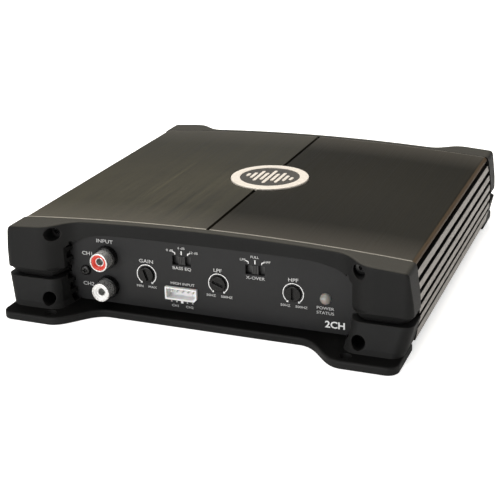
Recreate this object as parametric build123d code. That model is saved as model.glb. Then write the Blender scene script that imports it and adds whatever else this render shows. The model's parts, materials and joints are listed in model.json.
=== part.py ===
from build123d import *
import math
import os

# Two-channel car amplifier. Frame: +X right, -Y front (controls), +Y rear (terminals), +Z up.
# The origin is the centre of the footprint, on the plane the four feet stand on. Millimetres.

# ---- Heatsink extrusion -------------------------------------------------------------------
SINK_HALF_LENGTH = 76.25
CROWN_Z = 42.7                 # top of the arched upper face, on the centre line
SHOULDER_X = 87.6              # where the arched face turns down into the side
SHOULDER_Z = 39.2
EAVE_X = 89.4                  # lower outer edge of the top plate
EAVE_Z = 37.2
BELLY_X = 91.9                 # widest point of the bulging fin tips
BELLY_Z = 19.0
SINK_FOOT_X = 90.4
SINK_BOTTOM_Z = 5.0
TOP_THICKNESS = 4.5
WALL_INNER_X = 76.0
FIN_ROOT_X = 81.0
FIN_COUNT = 6
FIN_PITCH = 4.9
FIN_THICKNESS = 2.95
LOWEST_FIN_Z = 8.7
FIN_TIP_RADIUS = 0.35
GROOVE_WIDTH = 1.5
GROOVE_DEPTH = 1.5
SINK_EDGE_CHAMFER = 0.6

# ---- Screw positions shared by the heatsink and the end caps --------------------------------
CAP_SCREW_LOW = (70.6, 7.8)    # (x, z)
CAP_SCREW_TOP = (69.3, 36.4)
PORT_RADIUS = 2.4
PORT_WEB = 3.0                 # thickness of the web between a low port and the wall
M3_BORE = 1.3                  # radius of the tapped bore
M3_SHANK = 1.25
M3_CLEARANCE = 1.6

# ---- End caps (drawn at the rear, +Y outward; the front one is turned half a turn) ----------
CAP_BACK_Y = 76.3
BAR_Y = 80.0                   # outer face of the bar over the panel
BLOCK_Y = 89.6                 # outer face of the corner blocks
BLOCK_SIDE_X = 92.4            # outer side of the corner blocks in plan
BELLY_SIDE_X = 92.3            # widest point of the bulging upper blocks, just inside the plan
BLOCK_CORNER_RADIUS = 3.8
BEND_START_X = 57.0            # the bar starts to swing outward
BEND_END_X = 76.5
CAP_SHOULDER_X = 88.2          # where the arched top turns down into the side
CAP_CHEEK = (90.8, 34.0)       # (x, z) where the shoulder's curve runs into the bulging side
RIM_RADIUS = 1.0
LEDGE_Z = 16.0                 # top of the lower block, floor of the V groove
VEE_WAIST_Z = 17.2             # where the groove's slope steepens
VEE_TOP_Z = 20.0
VEE_WAIST_DEPTH = 2.0
VEE_DEPTH = 4.0
VEE_TOP_DEPTH = 0.15
# Plans of the lower block: height, side x, outer corner radius, outer face y,
# and the inner wall at the panel, at its swept corner and where it meets the outer face.
LEDGE_PLAN = (LEDGE_Z, BLOCK_SIDE_X, 4.5, BLOCK_Y, 64.3, (66.6, 86.2), 72.5)
SKIRT_PLAN = (5.7, 90.0, 5.2, 92.1, 62.8, (65.2, 88.2), 71.5)
FOOT_PLAN = (3.5, 89.0, 5.8, 93.6, 61.5, (64.0, 89.6), 71.0)

# ---- Mounting flange ---------------------------------------------------------------------------
FLANGE_TOP_Z = 3.7
FLANGE_MID_Y = 86.0            # outer edge of the narrow middle
FLANGE_MID_END_X = 44.0
FOOT_Y = 101.5
FOOT_START_X = 66.0
FOOT_SIDE_X = 89.3
FOOT_CORNER_RADIUS = 5.0
FLANGE_TOP_ROUND = 1.1
FLANGE_LOW_ROUND = 0.6
MOUNT_X = 67.0
MOUNT_Y = 96.5
MOUNT_HOLE = 2.5               # radius

# ---- Window in the end cap -----------------------------------------------------------------------
OPENING_HALF = 64.5            # at the panel's face
OPENING_DRAFT = 0.22           # how far each side wall leans outward per millimetre of depth
OPENING_TOP_Z = 36.4
OPENING_BEND = (44.0, 36.0)    # (x, z) where the upper edge starts to droop
OPENING_SHOULDER_Z = 29.5
HEAD_SEAT_Y = 79.3
COUNTERBORE = 3.05             # radius
NOTCH_COUNT = 6
NOTCH_PITCH = 5.0
NOTCH_LOW_Z = 5.6
NOTCH_HALF_HEIGHT = 1.6
NOTCH_DEPTH_Y = 4.4
NOTCH_OUTER_X = 66.9

# ---- Panels ----------------------------------------------------------------------------------
PANEL_HALF = 66.0
PANEL_LOW_Z = 3.75
PANEL_TOP_Z = 37.0
PANEL_BACK_Y = 76.3
PANEL_FACE_Y = 77.8

# ---- Controls on the front panel (x, z) ------------------------------------------------------
RCA_X = -47.7
RCA_UPPER_Z = 25.4
RCA_LOWER_Z = 11.4
RCA_COLLAR = 5.0
RCA_SHELL = 4.15
RCA_SHELL_BORE = 3.6
RCA_NECK = 3.7                 # the sleeve is stepped down where it sits inside the collar
RCA_NECK_BORE = 3.3
RCA_COLLAR_FACE_Y = -80.8
RCA_SHELL_FACE_Y = -86.2
RCA_SHELL_BACK_Y = -72.3
RCA_INSERT_FACE_Y = -85.7
RCA_CONTACT_FACE_Y = -85.0
RCA_PIN_BORE = 1.62            # takes the plug's 3.2 mm pin
RCA_CONTACT_WALL = 0.4
RCA_DISH_FLOOR = 2.3            # radius of the dished mouth's floor
RCA_TAIL = 0.6
RCA_SCREW_X = -58.6
RCA_SCREW_Z = 17.8
KNOB_Z = 19.3
GAIN_X = -28.9
LPF_X = 4.9
HPF_X = 38.6
KNOB_RADIUS = 3.5
KNOB_SHAFT = 1.5
KNOB_FACE_Y = -78.8
KNOB_BACK_Y = -75.0
SHAFT_END_Y = -68.0
KNOB_SLOT = (1.2, 5.2)         # width and length
POT_HALF_WIDTH = 4.8
POT_FACE_Y = -74.5
SWITCH_Z = 27.65
BASS_EQ_X = -11.9
CROSSOVER_X = 21.8
SWITCH_WINDOW = (8.7, 4.3)
SLIDER_SIZE = (3.0, 3.9)
SHUTTER_SIZE = (14.6, 5.4)
SHUTTER_BACK_Y = -74.7
SWITCH_BODY = (23.0, 7.6)
SWITCH_TRACK = (20.6, 5.5)     # recess the shutter slides in
HEADER_X = -12.4
HEADER_Z = 12.45
HEADER_SIZE = (14.9, 5.75)
HEADER_KEY = 1.3               # cut corner that keys the plug
HEADER_WALL = 0.75
HEADER_FACE_Y = -79.2
HEADER_FLOOR_Y = -74.8
HEADER_PIN_PITCH = 2.5
HEADER_PIN = (0.64, 0.64)
HEADER_PIN_Z = HEADER_Z + 0.4
HEADER_PIN_TIP_Y = -77.9
LED_X = 52.8
LED_Z = 18.9
LED_RADIUS = 2.5
LED_RIM = 2.9                  # radius of the flange at the lamp's base
LED_BASE_Y = -71.0
LED_LEG = 0.5
LED_LEG_DXS = (-1.27, 1.27)
CONTROL_BOARD_Y = -64.0        # front face of the upright control board
BOARD_THICKNESS = 1.6
BOARD_LOW_Z = 5.2              # lower edge of the upright board and of the socket moulding
LEAD_PLAY = 0.2                # how much wider a board's hole is than the lead in it
LEAD_OUT = 3.0                 # how far leads stand behind the board's front face

# ---- Main board and what stands on it ----------------------------------------------------------
MAIN_BOARD_Z = 10.6            # underside
MAIN_BOARD_TOP = MAIN_BOARD_Z + BOARD_THICKNESS
MAIN_BOARD_HALF = (75.0, 60.0)
STANDOFF_SPOTS = [(-60, -54), (60, -54), (-60, 54), (60, 54)]
COVER_Z = 3.75
COVER_SCREW_X = 78.5
COVER_SCREW_YS = (-60.0, 0.0, 60.0)
TRANSISTOR_YS = (-42.0, -14.0, 14.0, 42.0)
TRANSISTOR_Z = 21.0
PAD_THICKNESS = 0.3
PACKAGE_BACK_X = WALL_INNER_X - PAD_THICKNESS
PACKAGE_DEPTH = 4.5
TAB_THICKNESS = 1.3
LEG_X = (72.95, 73.45)
BAR_THICKNESS = 2.0            # clamp bars
M3_HEAD = 2.75                 # radius
CHIP_SPOTS = [(-50.0, -36.0), (-30.0, -36.0), (-50.0, -14.0)]
LEAD_PITCH = 2.54
WIRE = 1.6                     # space one layer of winding takes up
TOROIDS = [(-22.0, 16.0, 18.0, 9.0, 9.0), (30.0, -30.0, 12.0, 6.5, 7.0)]   # x, y, OD/2, ID/2, height

# ---- Rear terminals ------------------------------------------------------------------------------
TERMINAL_BASE_Y = 81.0         # outer face of the moulded base
TERMINAL_Z = 20.0              # screw height
TERMINAL_BACK_Y = 71.0
BLOCK_HALF_HEIGHT = 11.0
BARRIER_Y = 89.0
BARRIER_THICKNESS = 1.6
CONTACT_THICKNESS = 1.2
CONTACT_BOSS = 3.0             # radius of the tapped boss behind each contact plate
TAIL_Y = 58.0                  # where the contacts' tails turn down to the main board
POWER_CENTRE_X = 38.0
POWER_PITCH = 12.0
SPEAKER_CENTRE_X = -34.0
SPEAKER_PITCH = 11.0
M4_SHANK = 1.95
M4_BORE = 2.0
M4_HEAD = 3.5
M4_TIP_Y = 75.0
WASHER_LOW_Y = TERMINAL_BASE_Y + CONTACT_THICKNESS + 0.03
WASHER_THICKNESS = 1.0
HEAD_LOW_Y = WASHER_LOW_Y + WASHER_THICKNESS + 0.03
WASHER_HALF = 3.7
FUSE_X = 4.0
FUSE_Z = 20.0
FUSE_HOLDER = (9.0, 23.0)
FUSE_BEZEL = (11.0, 25.0)
FUSE_WELL = (5.6, 19.8)
FUSE_WELL_Y = 69.9             # floor of the well
FUSE_BLADE_DZS = (-6.8, 6.8)
FUSE_BLADE = (0.65, 5.2)
FUSE_CLIP = (2.6, 5.6)
FUSE_RIM = (5.0, 19.0)
FUSE_WEB = (3.4, 15.4)
FUSE_FACE_Y = 82.4

# ---- Badge on the upper face -----------------------------------------------------------------------
BADGE_RADIUS = 18.6
BADGE_SEAT_Z = 42.0
BADGE_TOP_Z = 43.3
BADGE_FLOOR_Z = 42.7           # floor of the recess that holds the dark inlay
BADGE_FIELD = 14.3             # radius of the recess
BAR_PITCH = 2.7
BAR_HALF_WIDTH = 0.8
BAR_HALF_HEIGHTS = (2.0, 4.2, 7.6, 5.4, 9.8, 5.4, 7.6, 4.2, 2.0)

HAIR = 0.05                    # assembly gap between parts that move or drop in


def box(x0, x1, y0, y1, z0, z1):
    """A block given by its limits on each axis."""
    centre = Pos((x0 + x1) / 2, (y0 + y1) / 2, (z0 + z1) / 2)
    return centre * Box(x1 - x0, y1 - y0, z1 - z0)


def rod_y(x, z, radius, y0, y1):
    """A round bar along Y."""
    return Pos(x, (y0 + y1) / 2, z) * Rot(90, 0, 0) * Cylinder(radius, y1 - y0)


def rod_z(x, y, radius, z0, z1):
    """A round bar along Z."""
    return Pos(x, y, (z0 + z1) / 2) * Cylinder(radius, z1 - z0)


def rod_x(y, z, radius, x0, x1):
    """A round bar along X."""
    return Pos((x0 + x1) / 2, y, z) * Rot(0, 90, 0) * Cylinder(radius, x1 - x0)


def along_y(outline, y0, y1):
    """Extrude an outline drawn in (x, z) from y0 to y1."""
    return extrude(Plane.XZ.offset(-y0) * outline, amount=y0 - y1)


def along_z(outline, z0, z1):
    """Extrude an outline drawn in (x, y) from z0 to z1."""
    return extrude(Plane.XY.offset(z0) * outline, amount=z1 - z0)


def mirrored_face(edges):
    """Close a half outline that starts and ends on the centre line with its mirror image."""
    curve = Curve() + edges
    return make_face(curve + mirror(curve, about=Plane.YZ))


def arch_z(x):
    """Height of the arched upper face at a distance x from the centre line."""
    drop = CROWN_Z - SHOULDER_Z
    radius = (SHOULDER_X**2 + drop**2) / (2 * drop)
    return CROWN_Z - radius + math.sqrt(radius**2 - x**2)


def fin_gaps():
    """Lower and upper height of every slot between the fins, from the bottom up."""
    half = FIN_THICKNESS / 2
    centres = [LOWEST_FIN_Z + FIN_PITCH * i for i in range(FIN_COUNT)]
    edges = [(z + half, z + FIN_PITCH - half) for z in centres[:-1]]
    return edges + [(centres[-1] + half, EAVE_Z)]


# ---- Housing ------------------------------------------------------------------------------------


def sink_section():
    """Cross-section of the heatsink: arched top, bulging finned sides, screw ports."""
    outline = mirrored_face([
        ThreePointArc((0, CROWN_Z), (SHOULDER_X / 2, arch_z(SHOULDER_X / 2)), (SHOULDER_X, SHOULDER_Z)),
        ThreePointArc((SHOULDER_X, SHOULDER_Z), (SHOULDER_X + 1.25, SHOULDER_Z - 0.75), (EAVE_X, EAVE_Z)),
        ThreePointArc((EAVE_X, EAVE_Z), (BELLY_X, BELLY_Z), (SINK_FOOT_X, SINK_BOTTOM_Z)),
        Line((SINK_FOOT_X, SINK_BOTTOM_Z), (0, SINK_BOTTOM_Z)),
    ])
    ceiling = CROWN_Z - TOP_THICKNESS
    side_ceiling = arch_z(WALL_INNER_X) - TOP_THICKNESS
    cavity = mirrored_face([
        ThreePointArc((0, ceiling), (WALL_INNER_X / 2, arch_z(WALL_INNER_X / 2) - TOP_THICKNESS),
                      (WALL_INNER_X, side_ceiling)),
        Line((WALL_INNER_X, side_ceiling), (WALL_INNER_X, 0)),
        Line((WALL_INNER_X, 0), (0, 0)),
    ])
    section = outline - cavity
    slot_length = 20.0
    for low, high in fin_gaps():
        for side in (-1, 1):
            centre = Pos(side * (FIN_ROOT_X + slot_length / 2), (low + high) / 2)
            section -= centre * Rectangle(slot_length, high - low)
    tips = section.vertices().filter_by(lambda v: abs(v.X) > EAVE_X - 0.1 and v.Y < EAVE_Z - 0.1)
    section = fillet(tips, FIN_TIP_RADIUS)
    section -= Pos(0, CROWN_Z) * Rectangle(GROOVE_WIDTH, 2 * GROOVE_DEPTH)
    port_x, port_z = CAP_SCREW_LOW
    web_mid = (port_x + WALL_INNER_X) / 2 + 0.5
    for side in (-1, 1):
        section += Pos(side * web_mid, port_z) * Rectangle(WALL_INNER_X - port_x + 1, PORT_WEB)
        for x, z in (CAP_SCREW_LOW, CAP_SCREW_TOP):
            section += Pos(side * x, z) * Circle(PORT_RADIUS)
            section -= Pos(side * x, z) * Circle(M3_BORE)
    return section


def heatsink():
    """The extruded body, with its badge seat and every tapped bore."""
    body = along_y(sink_section(), -SINK_HALF_LENGTH, SINK_HALF_LENGTH)
    upper = body.edges().filter_by(lambda e: e.center().Z > SHOULDER_Z and e.length > SINK_HALF_LENGTH / 2)
    end_edges = upper.filter_by(lambda e: abs(abs(e.center().Y) - SINK_HALF_LENGTH) < 0.01)
    body = chamfer(end_edges, SINK_EDGE_CHAMFER)
    body -= rod_z(0, 0, BADGE_RADIUS + 0.45, BADGE_SEAT_Z, CROWN_Z + 5)
    for side in (-1, 1):
        for y in COVER_SCREW_YS:
            body -= rod_z(side * COVER_SCREW_X, y, M3_BORE, 0, 14)
        for y in clamp_screw_ys():
            wall = sorted((side * (WALL_INNER_X - 1), side * (FIN_ROOT_X - 1)))
            body -= rod_x(y, TRANSISTOR_Z, M3_BORE, wall[0], wall[1])
    return body


def bottom_cover():
    """Flat steel plate that closes the open underside, with countersunk screw holes."""
    plate = box(-83, 83, -SINK_HALF_LENGTH, SINK_HALF_LENGTH, COVER_Z, SINK_BOTTOM_Z)
    plate = fillet(plate.edges().filter_by(Axis.Z), 2)
    for side in (-1, 1):
        for y in COVER_SCREW_YS:
            x = side * COVER_SCREW_X
            plate -= rod_z(x, y, M3_CLEARANCE, 0, 10)
            plate -= Pos(x, y, COVER_Z + 0.55) * Cone(2.9, M3_CLEARANCE, 1.1)
    for x, y in STANDOFF_SPOTS:
        plate -= rod_z(x, y, M3_CLEARANCE, 0, 10)
    return plate


def cover_screws():
    """Six countersunk screws that hold the bottom cover to the heatsink walls."""
    screws = []
    for side in (-1, 1):
        for y in COVER_SCREW_YS:
            x = side * COVER_SCREW_X
            head = Pos(x, y, COVER_Z + 0.55) * Cone(2.8, 1.5, 1.0)
            screw = head + rod_z(x, y, M3_SHANK, COVER_Z + 0.5, 12)
            screws.append(screw - box(x - 2, x + 2, y - 0.3, y + 0.3, COVER_Z - 1, COVER_Z + 0.5))
    return screws


# ---- End caps -------------------------------------------------------------------------------------


def round_corner(x, y, radius):
    """Arc that rounds the outer corner at (x, y), from the outer face to the side."""
    diagonal = radius * (1 - math.sqrt(0.5))
    return ThreePointArc((x - radius, y), (x - diagonal, y - diagonal), (x, y - radius))


def cap_upper_plan():
    """Plan of the bar and the corner blocks: a shallow bar that swings out at both ends."""
    corner = BLOCK_CORNER_RADIUS
    bend_mid = (BEND_START_X + BEND_END_X) / 2
    return mirrored_face([
        Line((0, BAR_Y), (BEND_START_X, BAR_Y)),
        Bezier((BEND_START_X, BAR_Y), (bend_mid, BAR_Y), (bend_mid, BLOCK_Y), (BEND_END_X, BLOCK_Y)),
        Line((BEND_END_X, BLOCK_Y), (BLOCK_SIDE_X - corner, BLOCK_Y)),
        round_corner(BLOCK_SIDE_X, BLOCK_Y, corner),
        Line((BLOCK_SIDE_X, BLOCK_Y - corner), (BLOCK_SIDE_X, CAP_BACK_Y)),
        Line((BLOCK_SIDE_X, CAP_BACK_Y), (0, CAP_BACK_Y)),
    ])


def block_plan(plan, inset=0.0, height=None):
    """Section of one lower corner block, moved inward by an inset all round but the back."""
    z, side_x, corner, face_y, wall_x, swept, bend_x = plan
    side_x -= inset
    face_y -= inset
    wall_x += inset
    swept = (swept[0] + inset, swept[1] - inset)
    edges = [
        Line((wall_x, CAP_BACK_Y), swept),
        Spline(swept, (bend_x, face_y), tangents=[(0.5, 1), (1, 0)]),
        Line((bend_x, face_y), (side_x - corner, face_y)),
        round_corner(side_x, face_y, corner),
        Line((side_x, face_y - corner), (side_x, CAP_BACK_Y)),
        Line((side_x, CAP_BACK_Y), (wall_x, CAP_BACK_Y)),
    ]
    return Plane.XY.offset(z if height is None else height) * make_face(Curve() + edges)


def lower_blocks():
    """Flared lower halves of the corner blocks, and the necks that form the V groove."""
    foot, skirt, ledge = block_plan(FOOT_PLAN), block_plan(SKIRT_PLAN), block_plan(LEDGE_PLAN)
    neck_low = block_plan(LEDGE_PLAN, VEE_DEPTH, LEDGE_Z - 0.2)
    neck_mid = block_plan(LEDGE_PLAN, VEE_WAIST_DEPTH, VEE_WAIST_Z)
    neck_top = block_plan(LEDGE_PLAN, VEE_TOP_DEPTH, VEE_TOP_Z)
    right = loft([foot, skirt], ruled=True) + loft([skirt, ledge], ruled=True)
    right += loft([neck_low, neck_mid], ruled=True) + loft([neck_mid, neck_top], ruled=True)
    return right + mirror(right, about=Plane.YZ)


def cap_front_view():
    """Front silhouette above the V groove: bulging sides, rounded shoulders, arched top."""
    shoulder = CAP_SHOULDER_X
    shoulder_z = arch_z(shoulder)
    return mirrored_face([
        ThreePointArc((0, CROWN_Z), (shoulder / 2, arch_z(shoulder / 2)), (shoulder, shoulder_z)),
        Spline((shoulder, shoulder_z), CAP_CHEEK, tangents=[(1, -0.08), (0.14, -1)]),
        Spline(CAP_CHEEK, (BELLY_SIDE_X, VEE_TOP_Z), tangents=[(0.14, -1), (0, -1)]),
        Line((BELLY_SIDE_X, VEE_TOP_Z), (BELLY_SIDE_X, 0)),
        Line((BELLY_SIDE_X, 0), (0, 0)),
    ])


def flange_plan():
    """Plan of the mounting flange: two feet joined by a narrow waist."""
    corner = FOOT_CORNER_RADIUS
    return mirrored_face([
        Line((0, FLANGE_MID_Y), (FLANGE_MID_END_X, FLANGE_MID_Y)),
        Bezier((FLANGE_MID_END_X, FLANGE_MID_Y), (53.5, FLANGE_MID_Y + 0.2), (57, FOOT_Y - 0.2),
               (FOOT_START_X, FOOT_Y)),
        Line((FOOT_START_X, FOOT_Y), (FOOT_SIDE_X - corner, FOOT_Y)),
        round_corner(FOOT_SIDE_X, FOOT_Y, corner),
        Line((FOOT_SIDE_X, FOOT_Y - corner), (FOOT_SIDE_X, CAP_BACK_Y)),
        Line((FOOT_SIDE_X, CAP_BACK_Y), (0, CAP_BACK_Y)),
    ])


def opening_section(y):
    """The window at a distance y from the middle, with drooping upper corners."""
    half = OPENING_HALF + OPENING_DRAFT * (y - PANEL_FACE_Y)
    outline = mirrored_face([
        Line((0, OPENING_TOP_Z), (8, OPENING_TOP_Z)),
        Spline((8, OPENING_TOP_Z), OPENING_BEND, tangents=[(1, 0), (1, -0.03)]),
        Bezier(OPENING_BEND, (54, 35.7), (half - 3.5, 32.8), (half, OPENING_SHOULDER_Z)),
        Line((half, OPENING_SHOULDER_Z), (half, 0)),
        Line((half, 0), (0, 0)),
    ])
    return Plane.XZ.offset(-y) * outline


def opening():
    """Cutter for the window, wider toward the outside."""
    return loft([opening_section(CAP_BACK_Y - 1), opening_section(BLOCK_Y + 1)], ruled=True)


def flange():
    """The mounting flange with rounded rims."""
    plate = along_z(flange_plan(), 0, FLANGE_TOP_Z)
    for z, radius in ((FLANGE_TOP_Z, FLANGE_TOP_ROUND), (0.0, FLANGE_LOW_ROUND)):
        level = plate.edges().filter_by(lambda e: abs(e.center().Z - z) < 0.01)
        plate = fillet(level.filter_by(lambda e: e.center().Y > FLANGE_MID_Y - 1), radius)
    return plate


def upper_cap():
    """The bar and the upper corner blocks, with a soft outer rim and the drafted window."""
    cap = along_z(cap_upper_plan(), VEE_TOP_Z, CROWN_Z + 2)
    cap = cap & along_y(cap_front_view(), CAP_BACK_Y - 1, BLOCK_Y + 1)
    front = cap.edges().filter_by(lambda e: e.center().Y > BAR_Y - 0.2 and abs(e.tangent_at(0.5).Z) < 0.5)
    rim = front.filter_by(lambda e: e.center().Z > SHOULDER_Z - 1.5)
    return fillet(rim, RIM_RADIUS) - opening()


def cap_screw_spots():
    """Position (x, z) of the four screws of one end cap."""
    return [(side * x, z) for side in (-1, 1) for x, z in (CAP_SCREW_LOW, CAP_SCREW_TOP)]


def end_cap():
    """One moulded end cap, drawn at the rear end of the heatsink."""
    cap = upper_cap() + lower_blocks() + flange()
    cap -= box(-PANEL_HALF - HAIR, PANEL_HALF + HAIR, CAP_BACK_Y - 1, PANEL_FACE_Y + HAIR,
               FLANGE_TOP_Z, PANEL_TOP_Z + HAIR)
    for x, z in cap_screw_spots():
        cap -= rod_y(x, z, COUNTERBORE, HEAD_SEAT_Y, FOOT_Y)
        cap -= rod_y(x, z, M3_CLEARANCE, CAP_BACK_Y - 1, HEAD_SEAT_Y + 1)
    for side in (-1, 1):
        cap -= rod_z(side * MOUNT_X, MOUNT_Y, MOUNT_HOLE, -1, FLANGE_TOP_Z + 1)
        ends = sorted((side * (OPENING_HALF - 2), side * NOTCH_OUTER_X))
        for i in range(NOTCH_COUNT):
            z = NOTCH_LOW_Z + NOTCH_PITCH * i
            cap -= box(ends[0], ends[1], PANEL_FACE_Y, PANEL_FACE_Y + NOTCH_DEPTH_Y,
                       z - NOTCH_HALF_HEIGHT, z + NOTCH_HALF_HEIGHT)
    return cap


def end_cap_screws():
    """Eight socket-head screws, deep in the counterbores."""
    screws = []
    for x, z in cap_screw_spots():
        screw = rod_y(x, z, M3_HEAD, HEAD_SEAT_Y, HEAD_SEAT_Y + 3)
        screw += rod_y(x, z, M3_SHANK, HEAD_SEAT_Y - 13, HEAD_SEAT_Y)
        socket = Plane.XZ.offset(-HEAD_SEAT_Y - 1.4) * Pos(x, z) * RegularPolygon(1.44, 6)
        screw -= extrude(socket, amount=-3)
        screws += [screw, mirror(screw, about=Plane.XZ)]
    return screws


# ---- Badge --------------------------------------------------------------------------------------


def badge_recess():
    """Recessed field of the badge: a disc less the level-meter bars."""
    field = Circle(BADGE_FIELD)
    for i, half in enumerate(BAR_HALF_HEIGHTS):
        x = (i - (len(BAR_HALF_HEIGHTS) - 1) / 2) * BAR_PITCH
        field -= Pos(x, 0) * SlotOverall(2 * half, 2 * BAR_HALF_WIDTH, rotation=90)
    return field


def emblem_plate():
    """Round badge plate with a generic level-meter pattern standing in its recess."""
    disc = rod_z(0, 0, BADGE_RADIUS, BADGE_SEAT_Z, BADGE_TOP_Z)
    rim = disc.edges().filter_by(GeomType.CIRCLE).sort_by(Axis.Z)[-1]
    disc = fillet(rim, 0.35)
    return disc - along_z(badge_recess(), BADGE_FLOOR_Z, BADGE_TOP_Z + 1)


def emblem_inlay():
    """Dark enamel that fills the recess to just below the bright bars."""
    return along_z(offset(badge_recess(), -0.02), BADGE_FLOOR_Z, BADGE_TOP_Z - 0.25)


# ---- Front panel and its controls -----------------------------------------------------------------


def panel_blank():
    """A plain panel plate at the front."""
    return box(-PANEL_HALF, PANEL_HALF, -PANEL_FACE_Y, -PANEL_BACK_Y, PANEL_LOW_Z, PANEL_TOP_Z)


def window(x, z, size, y0, y1):
    """A rectangular cutter of a given (width, height), centred on (x, z)."""
    return box(x - size[0] / 2, x + size[0] / 2, y0, y1, z - size[1] / 2, z + size[1] / 2)


def front_panel():
    """Control panel with an opening for every socket, knob, switch and lamp."""
    panel = panel_blank()
    front, back = -PANEL_FACE_Y - 1, -PANEL_BACK_Y + 1
    for z in rca_zs():
        panel -= rod_y(RCA_X, z, RCA_COLLAR + 0.1, front, back)
    panel -= rod_y(RCA_SCREW_X, RCA_SCREW_Z, M3_CLEARANCE, front, back)
    for x in (GAIN_X, LPF_X, HPF_X):
        panel -= rod_y(x, KNOB_Z, KNOB_RADIUS + 0.15, front, back)
    for x in (BASS_EQ_X, CROSSOVER_X):
        panel -= window(x, SWITCH_Z, SWITCH_WINDOW, front, back)
    panel -= header_shape(-0.1, front, back)
    panel -= rod_y(LED_X, LED_Z, LED_RADIUS + 0.1, front, back)
    return panel


def rca_zs():
    """Heights of the two phono sockets."""
    return (RCA_UPPER_Z, RCA_LOWER_Z)


def front_rim(shape):
    """The round edge nearest the front."""
    return shape.edges().filter_by(GeomType.CIRCLE).sort_by(Axis.Y)[0]


def rca_housing():
    """Black moulding behind the panel with two collars and a screw lug."""
    body = box(RCA_SCREW_X - 4, RCA_X + 6.5, -PANEL_BACK_Y, CONTROL_BOARD_Y, BOARD_LOW_Z, 31.6)
    for z in rca_zs():
        collar = rod_y(RCA_X, z, RCA_COLLAR, RCA_COLLAR_FACE_Y, -PANEL_BACK_Y)
        body += fillet(front_rim(collar), 0.5)
        body -= rod_y(RCA_X, z, RCA_NECK, RCA_COLLAR_FACE_Y - 1, RCA_SHELL_BACK_Y)
        body -= rod_y(RCA_X, z, RCA_TAIL + LEAD_PLAY / 2, -PANEL_BACK_Y, CONTROL_BOARD_Y + 1)
    return body - rod_y(RCA_SCREW_X, RCA_SCREW_Z, M3_BORE, -PANEL_FACE_Y, -PANEL_BACK_Y + 8)


def rca_shells():
    """Two plated ground sleeves that the plug's collar grips."""
    shells = []
    for z in rca_zs():
        shell = rod_y(RCA_X, z, RCA_SHELL, RCA_SHELL_FACE_Y, RCA_COLLAR_FACE_Y)
        shell = fillet(front_rim(shell), 0.2)
        shell -= rod_y(RCA_X, z, RCA_SHELL_BORE, RCA_SHELL_FACE_Y - 1, RCA_COLLAR_FACE_Y - 0.5)
        shell += rod_y(RCA_X, z, RCA_NECK, RCA_COLLAR_FACE_Y, RCA_SHELL_BACK_Y)
        shells.append(shell - rod_y(RCA_X, z, RCA_NECK_BORE, RCA_SHELL_FACE_Y, RCA_SHELL_BACK_Y + 1))
    return shells


def rca_insert(z):
    """Coloured insulator inside one sleeve, with a dished mouth around the pin socket."""
    insert = rod_y(RCA_X, z, RCA_SHELL_BORE, RCA_INSERT_FACE_Y, RCA_COLLAR_FACE_Y - 0.5)
    insert += rod_y(RCA_X, z, RCA_NECK_BORE, RCA_COLLAR_FACE_Y - 0.6, RCA_SHELL_BACK_Y)
    profile = make_face(Polyline((0, 0), (2.9, 0), (RCA_DISH_FLOOR, -0.8), (0, -0.8), close=True))
    dish = revolve(Plane.XZ * profile, Axis.Z)
    insert -= Pos(RCA_X, RCA_INSERT_FACE_Y, z) * Rot(90, 0, 0) * dish
    bore = RCA_PIN_BORE + RCA_CONTACT_WALL
    return insert - rod_y(RCA_X, z, bore, RCA_INSERT_FACE_Y - 1, RCA_SHELL_BACK_Y + 1)


def rca_contacts():
    """Two split centre contacts with tails through the control board."""
    contacts = []
    for z in rca_zs():
        tube = rod_y(RCA_X, z, RCA_PIN_BORE + RCA_CONTACT_WALL, RCA_CONTACT_FACE_Y, RCA_SHELL_BACK_Y)
        tube = fillet(front_rim(tube), 0.12)
        tube -= rod_y(RCA_X, z, RCA_PIN_BORE, RCA_CONTACT_FACE_Y - 1, RCA_SHELL_BACK_Y - 0.8)
        slit_end = RCA_SHELL_BACK_Y - 5
        tube -= box(RCA_X - 0.15, RCA_X + 0.15, RCA_CONTACT_FACE_Y - 1, slit_end, z - 2.5, z + 2.5)
        contacts.append(tube + rod_y(RCA_X, z, RCA_TAIL, RCA_SHELL_BACK_Y - 0.1, CONTROL_BOARD_Y + LEAD_OUT))
    return contacts


def rca_screw():
    """Self-tapping cross-head screw that fixes the socket moulding to the panel."""
    face_y = -PANEL_FACE_Y - 1.5
    head = fillet(front_rim(rod_y(RCA_SCREW_X, RCA_SCREW_Z, 2.3, face_y, -PANEL_FACE_Y)), 0.85)
    screw = head + rod_y(RCA_SCREW_X, RCA_SCREW_Z, M3_SHANK, -PANEL_FACE_Y - 0.1, -PANEL_BACK_Y + 7)
    for size in ((2.2, 0.5), (0.5, 2.2)):
        screw -= window(RCA_SCREW_X, RCA_SCREW_Z, size, face_y - 1, face_y + 0.9)
    return screw


def knob(x, slot_degrees):
    """Trimmer knob with a screwdriver slot; the angle is counter-clockwise from upright."""
    body = rod_y(x, KNOB_Z, KNOB_RADIUS, KNOB_FACE_Y, KNOB_BACK_Y)
    body = fillet(front_rim(body), 0.3)
    body += rod_y(x, KNOB_Z, KNOB_SHAFT, KNOB_BACK_Y - 0.1, SHAFT_END_Y)
    slot = Box(KNOB_SLOT[0], 1.6, KNOB_SLOT[1])
    return body - Pos(x, KNOB_FACE_Y + 0.3, KNOB_Z) * Rot(0, -slot_degrees, 0) * slot


def pot_bodies():
    """Three potentiometers soldered to the control board, bored for the knob shafts."""
    bodies = []
    for x in (GAIN_X, LPF_X, HPF_X):
        body = box(x - POT_HALF_WIDTH, x + POT_HALF_WIDTH, POT_FACE_Y, CONTROL_BOARD_Y,
                   KNOB_Z - 5.6, KNOB_Z + 5.0)
        bodies.append(body - rod_y(x, KNOB_Z, KNOB_SHAFT + HAIR, POT_FACE_Y - 1, SHAFT_END_Y + 0.5))
    return bodies


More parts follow.
